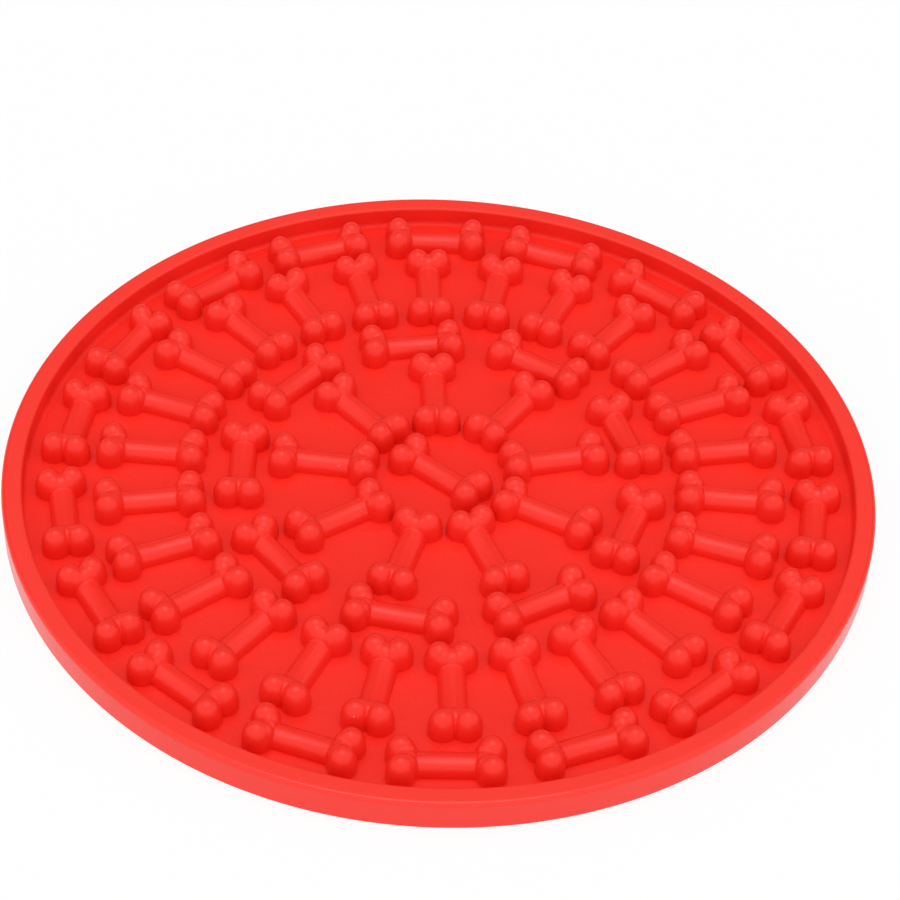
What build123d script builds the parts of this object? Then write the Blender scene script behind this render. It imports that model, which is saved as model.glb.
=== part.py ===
"""Round silicone lick mat: a floor disc, a raised rim and rings of moulded bones.

Millimetres, +Z up. The origin is at the middle of the flat underside.
The bones are laid out from the middle outwards, and the rim closes round the last ring.
"""
import os
from math import atan2, cos, degrees, hypot, pi, radians, sin, sqrt, tan

from build123d import *

# Floor disc and rim
floor_thickness = 2.8
recess_depth = 4.9
rim_width = 4.6
rim_gap = 2.88
rim_outer_round = 1.2
rim_inner_round = 0.6
foot_round = 0.6

# One bone: a head of two domed knobs at each end of a round-topped shaft
knob_foot_radius = 3.45
knob_spacing = 4.7
knob_side_height = 3.1
knob_draft_angle = 6.0
neck_foot_round = 0.6
head_spacing = 18.92
shaft_width = 6.15
shaft_side_height = 0.45

# Rings of bones, from the middle outwards: how many bones, the space inside the ring,
# and the angle of its first bone
inner_ring_count = 9
inner_ring_gap = 1.2
inner_start_angle = 92.2
middle_ring_count = 9
middle_ring_gap = 0.8
middle_start_angle = 97.9
spoke_ring_count = 26
spoke_ring_gap = 1.6
spoke_start_angle = 91.5
outer_ring_count = 18
outer_ring_gap = 1.1
outer_start_angle = 90.0
centre_bone_angle = -40.3

# The least space between neighbours in any ring
least_bone_space = 0.6

# A bone lies along its radius, or is turned across it
quarter_turn = 90.0
half_turn = 2 * quarter_turn
along_radius = 0.0
across_radius = quarter_turn

# Sizes that follow from those above
half_head_spacing = head_spacing / 2
half_knob_spacing = knob_spacing / 2
draft_inset = knob_side_height * tan(radians(knob_draft_angle))
shaft_radius = shaft_width / 2


def ring_radius(inside, count, half_depth, half_width):
    """Radius of a ring whose bones keep clear of the circle inside them and of their neighbours.

    The half depth is from a bone's middle to its knobs along the mat's radius, the half width across it.
    """
    half_angle = pi / count
    clear_inside = sqrt((inside + knob_foot_radius) ** 2 - half_width**2)
    half_space = knob_foot_radius + least_bone_space / 2
    clear_beside = (half_space + half_width * cos(half_angle)) / sin(half_angle)
    return half_depth + max(clear_inside, clear_beside)


def ring_reach(radius, half_depth, half_width):
    """Radius of the circle round a ring of bones."""
    return hypot(radius + half_depth, half_width) + knob_foot_radius


lengthwise = (half_head_spacing, half_knob_spacing)
crosswise = (half_knob_spacing, half_head_spacing)
centre_reach = ring_reach(0, *lengthwise)
inner_ring_radius = ring_radius(centre_reach + inner_ring_gap, inner_ring_count, *lengthwise)
inner_reach = ring_reach(inner_ring_radius, *lengthwise)
middle_ring_radius = ring_radius(inner_reach + middle_ring_gap, middle_ring_count, *crosswise)
middle_reach = ring_reach(middle_ring_radius, *crosswise)
spoke_ring_radius = ring_radius(middle_reach + spoke_ring_gap, spoke_ring_count, *lengthwise)
spoke_reach = ring_reach(spoke_ring_radius, *lengthwise)
outer_ring_radius = ring_radius(spoke_reach + outer_ring_gap, outer_ring_count, *crosswise)
outer_reach = ring_reach(outer_ring_radius, *crosswise)
recess_radius = outer_reach + rim_gap
mat_radius = recess_radius + rim_width

os.makedirs("parts", exist_ok=True)


def save(piece, name):
    """Label a finished piece and write it under its own name."""
    piece.label = name
    export_step(piece, f"parts/{name}.step")


# Floor disc, with a rounded edge where it meets the table
with BuildPart() as floor_disc:
    with BuildSketch():
        Circle(mat_radius)
    extrude(amount=floor_thickness)
    fillet(floor_disc.edges().sort_by(Axis.Z)[0], foot_round)
save(floor_disc.part, "floor_disc")

# Rim ring standing on the edge of the disc
with BuildPart() as rim_ring:
    with BuildSketch(Plane.XY.offset(floor_thickness)):
        Circle(mat_radius)
        Circle(recess_radius, mode=Mode.SUBTRACT)
    extrude(amount=recess_depth)
    top_edges = rim_ring.edges().group_by(Axis.Z)[-1].sort_by(SortBy.RADIUS)
    fillet(top_edges[-1], rim_outer_round)
    fillet(top_edges[0], rim_inner_round)
save(rim_ring.part, "rim_ring")


def half_head(inset):
    """Half the plan of a head, cut along the line through its knobs and drawn in by the inset."""
    knob_radius = knob_foot_radius - inset
    neck_radius = neck_foot_round + inset
    neck_x = sqrt((knob_radius + neck_radius) ** 2 - half_knob_spacing**2)
    neck_angle = degrees(atan2(half_knob_spacing, neck_x))
    with BuildSketch() as plan:
        with BuildLine():
            knob = CenterArc((0, half_knob_spacing), knob_radius, -neck_angle, quarter_turn + neck_angle)
            CenterArc((neck_x, 0), neck_radius, half_turn - neck_angle, neck_angle)
            mirror(about=Plane.XZ)
            Line(knob @ 1, (0, -half_knob_spacing - knob_radius))
        make_face()
    return plan.sketch


# One bone on the floor at the middle of the mat, along X
with BuildPart() as bone:
    for head_x in (-half_head_spacing, half_head_spacing):
        with BuildSketch(Plane((head_x, 0, floor_thickness))):
            add(half_head(0))
            mirror(about=Plane.YZ)
        extrude(amount=knob_side_height, taper=knob_draft_angle)
        dome_foot = Plane((head_x, 0, floor_thickness + knob_side_height))
        with BuildSketch(dome_foot):
            add(half_head(draft_inset))
        revolve(axis=Axis(dome_foot.origin, dome_foot.y_dir), revolution_arc=-half_turn)
    with BuildSketch(Plane.YZ.offset(-half_head_spacing)):
        with BuildLine():
            shaft_shoulder = floor_thickness + shaft_side_height
            crown = CenterArc((0, shaft_shoulder), shaft_radius, 0, half_turn)
            Polyline(crown @ 1, (-shaft_radius, floor_thickness), (shaft_radius, floor_thickness), crown @ 0)
        make_face()
    extrude(amount=head_spacing)


def bone_ring(name, radius, count, start, turn):
    """Write a ring of bones, each as a piece of its own."""
    for number, place in enumerate(PolarLocations(radius, count, start), start=1):
        with BuildPart() as ring_bone:
            with Locations(place):
                add(bone.part, rotation=(0, 0, turn))
        save(ring_bone.part, f"{name}_{number:02d}")


bone_ring("outer_bone", outer_ring_radius, outer_ring_count, outer_start_angle, across_radius)
bone_ring("spoke_bone", spoke_ring_radius, spoke_ring_count, spoke_start_angle, along_radius)
bone_ring("middle_bone", middle_ring_radius, middle_ring_count, middle_start_angle, across_radius)

# The small inner ring is one group of bones
with BuildPart() as inner_bones:
    with PolarLocations(inner_ring_radius, inner_ring_count, inner_start_angle):
        add(bone.part)
save(inner_bones.part, "inner_bones")

# A single bone in the middle
with BuildPart() as centre_bone:
    add(bone.part, rotation=(0, 0, centre_bone_angle))
save(centre_bone.part, "centre_bone")

print(f"mat diameter {2 * mat_radius:.2f} mm, rim {floor_thickness + recess_depth:.2f} mm high")
print(f"outer ring: {outer_ring_count} bones at radius {outer_ring_radius:.2f} mm")
print(f"spoke ring: {spoke_ring_count} bones at radius {spoke_ring_radius:.2f} mm")
print(f"middle ring: {middle_ring_count} bones at radius {middle_ring_radius:.2f} mm")
print(f"inner ring: {inner_ring_count} bones at radius {inner_ring_radius:.2f} mm")
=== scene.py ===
"""The lick mat dressed for its picture: a lathed silicone tray and its moulded bones, on a white table.

Metres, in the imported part's frame. The tray and the bones take their places from that frame.
"""

from math import atan2, cos, pi, radians, sin

import bmesh
import bpy
from mathutils import Matrix, Vector


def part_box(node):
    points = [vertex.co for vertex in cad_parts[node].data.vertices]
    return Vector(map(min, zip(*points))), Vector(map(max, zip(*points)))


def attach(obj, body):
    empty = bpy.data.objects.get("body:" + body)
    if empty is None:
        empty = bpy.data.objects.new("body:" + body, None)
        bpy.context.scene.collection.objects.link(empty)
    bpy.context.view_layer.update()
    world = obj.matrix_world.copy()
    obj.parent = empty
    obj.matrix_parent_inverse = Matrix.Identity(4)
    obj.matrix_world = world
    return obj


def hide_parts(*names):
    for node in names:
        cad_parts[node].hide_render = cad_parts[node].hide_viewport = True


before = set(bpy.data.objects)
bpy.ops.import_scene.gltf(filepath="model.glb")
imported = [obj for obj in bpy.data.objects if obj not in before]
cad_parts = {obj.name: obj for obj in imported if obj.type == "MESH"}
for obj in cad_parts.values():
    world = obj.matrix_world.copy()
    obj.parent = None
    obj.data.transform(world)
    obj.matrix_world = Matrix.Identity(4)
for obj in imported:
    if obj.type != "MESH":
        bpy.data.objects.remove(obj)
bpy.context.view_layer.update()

# Sizes that the frame gives
disc_low, disc_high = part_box("floor_disc")
mat_radius = min(-disc_low.x, disc_high.x, -disc_low.y, disc_high.y)
floor_top = disc_high.z
rim_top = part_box("rim_ring")[1].z
bone_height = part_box("centre_bone")[1].z - floor_top

# Tray: the rim's width, its rounded edges, and the loops that keep its flats flat
rim_width = 0.0046
rim_outer_round = 0.001
rim_inner_round = 0.0006
foot_round = 0.0006
recess_corner_round = 0.001
flat_margin = 0.0003
recess_radius = mat_radius - rim_width
tray_steps = 288
edge_steps = 8
crease_angle = radians(35)

# One bone: a round-topped shaft with a head at each end. A head is two egg-shaped knobs,
# each with a lower cheek towards the shaft, and a web between the cheeks
knob_foot_radius = 0.0032
half_knob_spacing = 0.0026
knob_side_height = 0.0017
cheek_set_back = 0.001
half_cheek_spacing = 0.0017
cheek_radius = 0.0027
cheek_height = 0.0055
web_set_back = 0.001
web_radius = 0.0025
web_side_height = 0.0028
web_height = 0.0051
half_head_spacing = 0.00946
shaft_radius = 0.003075
shaft_side_height = 0.00045
root_depth = 0.0003
knob_steps = 48
dome_steps = 16

# The skin over a bone: its grain, how it is softened and thinned, and its room under the solid's top
skin_grain = 0.00013
soften_share = 0.5
soften_rounds = 3
kept_share = 0.09
skin_margin = 0.00004
knob_height = bone_height - skin_margin

# Rings of bones: whether each lies across its radius, and the places of the grouped ring
rings_across = {"outer_bone": True, "spoke_bone": False, "middle_bone": True}
inner_ring_count = 9
inner_ring_start = radians(92.2)
inner_ring_radius = 0.02715
centre_bone_turn = radians(-40.3)

# Silicone: two reds inside the tray, two paler reds on the rim that are painted light (the rim lit brighter
# than the shaded recess), and dust specks
silicone_ior = 1.37
inner_reds = ((0.87, 0.022, 0.012, 1), (0.91, 0.026, 0.015, 1))
rim_reds_painted_light = ((0.88, 0.030, 0.018, 1), (0.92, 0.036, 0.022, 1))
dust_pink = (0.95, 0.40, 0.36, 1)
dust_share = 0.4
dust_reach = 0.014
dust_scale = 70

# The silicone's gloss and relief: clouds, swells and a fine grain
cloud_scale = 45
cloud_detail = 3
swell_scale = 650
swell_detail = 1
grain_scale = 2600
grain_detail = 2
inner_roughness = 0.27
cloud_roughness = 0.05
grain_roughness = 0.05
flat_rim_roughness = 0.33
corner_roughness = 0.3
rim_polish = 0.09
relief_strength = 0.15
relief_depth = 0.0003
grain_relief = 0.3

# Table: its finish, the share of its own glow, its size and its drop below the mat
white = (1, 1, 1, 1)
table_white = (0.9, 0.9, 0.9, 1)
table_roughness = 0.6
table_glow = 0.9
table_half_width = 3
table_drop = 0.0001

# Surroundings: levels of light, and the spans of upward or backward direction where they change
surround_level = 1.05
overhead_gain = 2.5
overhead_span = (0.93, 0.985)
dim_loss = 0.9
dim_rise_span = (-0.6, 0.5)
dim_end_span = (0.74, 0.84)
dim_back_span = (0.30, 0.50)

# Camera, as it stood for the photograph: pixels of a square image, metres and angles
image_side = 900
focal_pixels = 2559.2
sensor_width = 36.0
near_limit = 0.01
far_limit = 10
camera_place = Vector((-0.02156, -0.42721, 0.4118))
camera_pitch = radians(43.05)
camera_yaw = radians(-3.15)
camera_roll = radians(3.17)

# Directions, turns, and the distance within which points merge
up = Vector((0, 0, 1))
along_x = Vector((1, 0, 0))
along_y = Vector((0, 1, 0))
quarter_turn = pi / 2
full_turn = 2 * pi
both_ways = (-1, 1)
merge_distance = 1e-6


def run(bm, point, target):
    """Draw a straight run from a point and give its end."""
    end = bm.verts.new(target)
    bm.edges.new((point, end))
    return end


def flat_run(bm, point, target):
    """Draw a straight run with a loop close to each end, so that the flat between them shades flat."""
    start, target = point.co.copy(), Vector(target)
    step = (target - start).normalized() * flat_margin
    point = run(bm, point, start + step)
    point = run(bm, point, target - step)
    return run(bm, point, target)


def arc(bm, point, centre, angle, steps):
    """Draw an upright arc on from a point, round a centre, and give its end."""
    swept = bmesh.ops.spin(bm, geom=[point], cent=centre, axis=along_y, angle=angle, steps=steps)
    return next(item for item in swept["geom_last"] if isinstance(item, bmesh.types.BMVert))


def lathe(bm, steps):
    """Spin an outline about the upright axis."""
    outline = bm.verts[:] + bm.edges[:]
    bmesh.ops.spin(bm, geom=outline, cent=(0, 0, 0), axis=up, angle=full_turn, steps=steps, use_merge=True)


def shell(bm, name):
    """Merge the seams and poles of a finished bmesh, turn its faces outwards and keep it as a mesh."""
    bmesh.ops.remove_doubles(bm, verts=bm.verts, dist=merge_distance)
    bmesh.ops.recalc_face_normals(bm, faces=bm.faces)
    mesh = bpy.data.meshes.new(name)
    bm.to_mesh(mesh)
    bm.free()
    return mesh


def joined(meshes):
    """Join several meshes into one."""
    bm = bmesh.new()
    for mesh in meshes:
        bm.from_mesh(mesh)
    whole = bpy.data.meshes.new("group")
    bm.to_mesh(whole)
    bm.free()
    return whole


def smooth(mesh):
    """Shade every face of a mesh smoothly."""
    mesh.polygons.foreach_set("use_smooth", [True] * len(mesh.polygons))


def new_piece(name, mesh):
    """Put a mesh into the scene as an object at the origin."""
    piece = bpy.data.objects.new(name, mesh)
    bpy.context.scene.collection.objects.link(piece)
    return piece


def tray_mesh():
    """Lathe the floor and the rim as one unbroken skin."""
    bm = bmesh.new()
    point = bm.verts.new((0, 0, 0))
    point = flat_run(bm, point, (mat_radius - foot_round, 0, 0))
    point = arc(bm, point, (mat_radius - foot_round, 0, foot_round), -quarter_turn, edge_steps)
    point = flat_run(bm, point, (mat_radius, 0, rim_top - rim_outer_round))
    outer_centre = (mat_radius - rim_outer_round, 0, rim_top - rim_outer_round)
    point = arc(bm, point, outer_centre, -quarter_turn, edge_steps)
    point = flat_run(bm, point, (recess_radius + rim_inner_round, 0, rim_top))
    inner_centre = (recess_radius + rim_inner_round, 0, rim_top - rim_inner_round)
    point = arc(bm, point, inner_centre, -quarter_turn, edge_steps)
    point = flat_run(bm, point, (recess_radius, 0, floor_top + recess_corner_round))
    corner_centre = (recess_radius - recess_corner_round, 0, floor_top + recess_corner_round)
    point = arc(bm, point, corner_centre, quarter_turn, edge_steps)
    flat_run(bm, point, (0, 0, floor_top))
    lathe(bm, tray_steps)
    mesh = shell(bm, "tray")
    smooth(mesh)
    mesh.set_sharp_from_angle(angle=crease_angle)
    return mesh


def half_dome(half_width, side_height, height):
    """Draw half of an upright outline with a straight side and an elliptical top, down to its sunk foot."""
    bm = bmesh.new()
    shoulder = bm.verts.new((half_width, 0, 0))
    arc(bm, shoulder, (0, 0, 0), -quarter_turn, dome_steps)
    bmesh.ops.scale(bm, verts=bm.verts[:], vec=(1, 1, (height - side_height) / half_width))
    bmesh.ops.translate(bm, verts=bm.verts[:], vec=(0, 0, side_height))
    foot = run(bm, shoulder, (half_width, 0, -root_depth))
    run(bm, foot, (0, 0, -root_depth))
    return bm


def dome(half_width, side_height, height, x, y):
    """Turn half an outline about its upright axis and stand it at a place on the floor."""
    bm = half_dome(half_width, side_height, height)
    lathe(bm, knob_steps)
    mesh = shell(bm, "dome")
    mesh.transform(Matrix.Translation((x, y, 0)))
    return mesh


def shaft():
    """Pull a whole outline both ways along Y and turn it to lie along X."""
    bm = half_dome(shaft_radius, shaft_side_height, shaft_side_height + shaft_radius)
    bmesh.ops.mirror(bm, geom=bm.verts[:] + bm.edges[:], merge_dist=merge_distance, axis="X")
    bmesh.ops.contextual_create(bm, geom=bm.edges[:])
    bmesh.ops.translate(bm, verts=bm.verts[:], vec=(0, -half_head_spacing, 0))
    far_end = bmesh.ops.extrude_face_region(bm, geom=bm.faces[:])
    pulled = [item for item in far_end["geom"] if isinstance(item, bmesh.types.BMVert)]
    bmesh.ops.translate(bm, verts=pulled, vec=(0, 2 * half_head_spacing, 0))
    mesh = shell(bm, "shaft")
    mesh.transform(Matrix.Rotation(quarter_turn, 4, "Z"))
    return mesh


def head(end):
    """The overlapping shells of the head at one end: a web, and a knob and a cheek on each side of it."""
    web_x = end * (half_head_spacing - web_set_back)
    knob_x = end * half_head_spacing
    cheek_x = end * (half_head_spacing - cheek_set_back)
    shells = [dome(web_radius, web_side_height, web_height, web_x, 0)]
    for side in both_ways:
        knob_y = side * half_knob_spacing
        cheek_y = side * half_cheek_spacing
        shells.append(dome(knob_foot_radius, knob_side_height, knob_height, knob_x, knob_y))
        shells.append(dome(cheek_radius, knob_side_height, cheek_height, cheek_x, cheek_y))
    return shells


def bone_mesh():
    """Melt the shells of a bone into one softened skin along X, standing on height zero."""
    shells = [shaft()]
    for end in both_ways:
        shells += head(end)
    bone = new_piece("bone", joined(shells))
    melt = bone.modifiers.new("melt", "REMESH")
    melt.mode = "VOXEL"
    melt.voxel_size = skin_grain
    soften = bone.modifiers.new("soften", "SMOOTH")
    soften.factor = soften_share
    soften.iterations = soften_rounds
    thin = bone.modifiers.new("thin", "DECIMATE")
    thin.ratio = kept_share
    depsgraph = bpy.context.evaluated_depsgraph_get()
    mesh = bpy.data.meshes.new_from_object(bone.evaluated_get(depsgraph))
    bpy.data.objects.remove(bone)
    smooth(mesh)
    return mesh


def placed_bone(template, place, turn):
    """Copy the bone onto the floor at a place, turned about its middle."""
    mesh = template.copy()
    mesh.transform(Matrix.Translation((place.x, place.y, floor_top)) @ Matrix.Rotation(turn, 4, "Z"))
    return mesh


class Flow:
    """A value or colour on its way through a material. Sums and products of values add Math nodes."""

    def __init__(self, tree, socket):
        self.tree = tree
        self.socket = socket

    @classmethod
    def node(cls, tree, kind, settings, inputs, output=0):
        """Add a node, set it up, feed its sockets with values or links, and give one of its outputs."""
        node = tree.nodes.new(kind)
        for name, value in settings.items():
            setattr(node, name, value)
        for name, value in inputs.items():
            if isinstance(value, cls):
                value.feed(node.inputs[name])
            else:
                node.inputs[name].default_value = value
        return cls(tree, node.outputs[output])

    def feed(self, socket):
        """Link this value to a socket."""
        self.tree.links.new(self.socket, socket)

    def math(self, operation, first, second):
        """Add a Math node and give its result."""
        return self.node(self.tree, "ShaderNodeMath", {"operation": operation}, {0: first, 1: second})

    def __add__(self, other):
        return self.math("ADD", self, other)

    def __sub__(self, other):
        return self.math("SUBTRACT", self, other)

    def __rsub__(self, other):
        return self.math("SUBTRACT", other, self)

    def __mul__(self, other):
        return self.math("MULTIPLY", self, other)

    def __lt__(self, other):
        return self.math("LESS_THAN", self, other)

    def __gt__(self, other):
        return self.math("GREATER_THAN", self, other)

    __radd__ = __add__
    __rmul__ = __mul__


def axis_of(vector, axis):
    """One axis of a vector."""
    return Flow.node(vector.tree, "ShaderNodeSeparateXYZ", {}, {0: vector}, axis)


def ramp(value, low, high):
    """Rise from 0 to 1 as a value goes from low to high."""
    spans = {"Value": value, "From Min": low, "From Max": high}
    return Flow.node(value.tree, "ShaderNodeMapRange", {}, spans)


def ray(tree, kind):
    """1 where a ray is of a kind, and 0 elsewhere."""
    return Flow.node(tree, "ShaderNodeLightPath", {}, {}, kind)


def noise(place, scale, detail):
    """Soft noise between 0 and 1."""
    inputs = {"Vector": place, "Scale": scale, "Detail": detail}
    return Flow.node(place.tree, "ShaderNodeTexNoise", {}, inputs)


def mix(share, first, second):
    """Mix two colours, by the share of the second.

    A Mix node takes colours in its sockets 6 and 7, and gives one in its output 2.
    """
    return Flow.node(share.tree, "ShaderNodeMix", {"data_type": "RGBA"}, {0: share, 6: first, 7: second}, 2)


def new_material(name):
    """Start a material, and give it with its shader."""
    material = bpy.data.materials.new(name)
    material.use_nodes = True
    return material, material.node_tree.nodes["Principled BSDF"]


def silicone_material():
    """Satin red silicone: an even red, painted paler on the rim as painted light, a faintly uneven gloss, a
    fine moulded skin and a few dust specks.
    """
    material, shader = new_material("red_silicone")
    tree = material.node_tree
    shader.inputs["IOR"].default_value = silicone_ior
    place = Flow.node(tree, "ShaderNodeTexCoord", {}, {}, "Object")
    cloud = noise(place, cloud_scale, cloud_detail)
    grain = noise(place, grain_scale, grain_detail)
    swell = noise(place, swell_scale, swell_detail)
    crumbs = Flow.node(tree, "ShaderNodeTexVoronoi", {}, {"Vector": place, "Scale": dust_scale}, "Distance")
    x = axis_of(place, "X")
    y = axis_of(place, "Y")
    reach_squared = x * x + y * y
    rim = reach_squared > recess_radius**2
    flat_rim = rim * (reach_squared < (mat_radius - rim_outer_round) ** 2)
    corner = (reach_squared > (recess_radius - recess_corner_round) ** 2) - rim
    # The rim's reds are paler than the tray's: painted light on the rim, which stands clear of the shade in
    # the recess.
    red = mix(rim, mix(cloud, *inner_reds), mix(grain, *rim_reds_painted_light))
    dusty = mix(dust_share * (crumbs < dust_reach), red, dust_pink)
    dusty.feed(shader.inputs["Base Color"])
    uneven = cloud_roughness * cloud + grain_roughness * grain
    moulded = flat_rim_roughness * flat_rim + corner_roughness * corner - rim_polish * rim
    roughness = inner_roughness + uneven + moulded
    roughness.feed(shader.inputs["Roughness"])
    relief = {"Strength": relief_strength, "Distance": relief_depth, "Height": swell + grain_relief * grain}
    Flow.node(tree, "ShaderNodeBump", {}, relief).feed(shader.inputs["Normal"])
    return material


def table_material():
    """Plain white, lit by itself for the camera and for reflections, with the mat's shadow kept."""
    material, shader = new_material("white_table")
    tree = material.node_tree
    shader.inputs["Base Color"].default_value = table_white
    shader.inputs["Roughness"].default_value = table_roughness
    glow = Flow.node(tree, "ShaderNodeEmission", {}, {"Color": white, "Strength": 1})
    glow_share = table_glow * (ray(tree, "Is Camera Ray") + ray(tree, "Is Glossy Ray"))
    lit = Flow(tree, shader.outputs[0])
    mixed = Flow.node(tree, "ShaderNodeMixShader", {}, {0: glow_share, 1: lit, 2: glow})
    mixed.feed(tree.nodes["Material Output"].inputs["Surface"])
    return material


def dress(piece, material, *nodes):
    """Give a piece its material and let it stand for its nodes of the frame."""
    piece.data.materials.clear()
    piece.data.materials.append(material)
    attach(piece, "root")
    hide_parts(*nodes)


def build_mat():
    """Make the tray and every bone, each in the place of its node."""
    material = silicone_material()
    dress(new_piece("tray", tray_mesh()), material, "floor_disc", "rim_ring")
    template = bone_mesh()
    for node in sorted(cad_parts):
        ring = node.rpartition("_")[0]
        if ring in rings_across:
            low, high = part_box(node)
            place = (low + high) / 2
            turn = atan2(place.y, place.x) + (quarter_turn if rings_across[ring] else 0)
            dress(new_piece(f"{node}_skin", placed_bone(template, place, turn)), material, node)
    inner_bones = []
    for number in range(inner_ring_count):
        turn = inner_ring_start + full_turn * number / inner_ring_count
        place = inner_ring_radius * Vector((cos(turn), sin(turn), 0))
        inner_bones.append(placed_bone(template, place, turn))
    dress(new_piece("inner_bones_skin", joined(inner_bones)), material, "inner_bones")
    centre_bone = placed_bone(template, Vector((0, 0, 0)), centre_bone_turn)
    dress(new_piece("centre_bone_skin", centre_bone), material, "centre_bone")


def build_table():
    """Lay a wide white table under the mat."""
    bm = bmesh.new()
    bmesh.ops.create_grid(bm, x_segments=1, y_segments=1, size=table_half_width)
    bmesh.ops.translate(bm, verts=bm.verts, vec=(0, 0, -table_drop))
    table = new_piece("table", shell(bm, "table"))
    table.data.materials.append(table_material())


def build_light():
    """Soft white surroundings: brightest overhead, dim behind the mat, and plain white to the camera."""
    world = bpy.data.worlds.new("studio")
    bpy.context.scene.world = world
    world.use_nodes = True
    tree = world.node_tree
    direction = Flow.node(tree, "ShaderNodeTexCoord", {}, {}, "Generated")
    backwards = axis_of(direction, "Y")
    upwards = axis_of(direction, "Z")
    overhead = ramp(upwards, *overhead_span)
    dim_height = ramp(upwards, *dim_rise_span) * (1 - ramp(upwards, *dim_end_span))
    dim_patch = dim_height * ramp(backwards, *dim_back_span)
    level = surround_level + overhead_gain * overhead - dim_loss * dim_patch
    strength = level + ray(tree, "Is Camera Ray") * (1 - level)
    background = tree.nodes["Background"]
    background.inputs["Color"].default_value = white
    strength.feed(background.inputs["Strength"])


def build_camera():
    """Stand the camera where it stood for the photograph."""
    lens = bpy.data.cameras.new("camera")
    lens.sensor_width = sensor_width
    lens.lens = focal_pixels * sensor_width / image_side
    lens.clip_start = near_limit
    lens.clip_end = far_limit
    forward = Vector((0, cos(camera_pitch), -sin(camera_pitch)))
    level_top = Vector((0, sin(camera_pitch), cos(camera_pitch)))
    right = along_x * cos(camera_roll) + level_top * sin(camera_roll)
    top = level_top * cos(camera_roll) - along_x * sin(camera_roll)
    facing = Matrix.Rotation(camera_yaw, 3, "Z") @ Matrix((right, top, -forward)).transposed()
    camera = bpy.data.objects.new("camera", lens)
    camera.matrix_world = Matrix.Translation(camera_place) @ facing.to_4x4()
    bpy.context.scene.collection.objects.link(camera)
    bpy.context.scene.camera = camera


build_mat()
build_table()
build_light()
build_camera()
bpy.context.scene.view_settings.view_transform = "Standard"
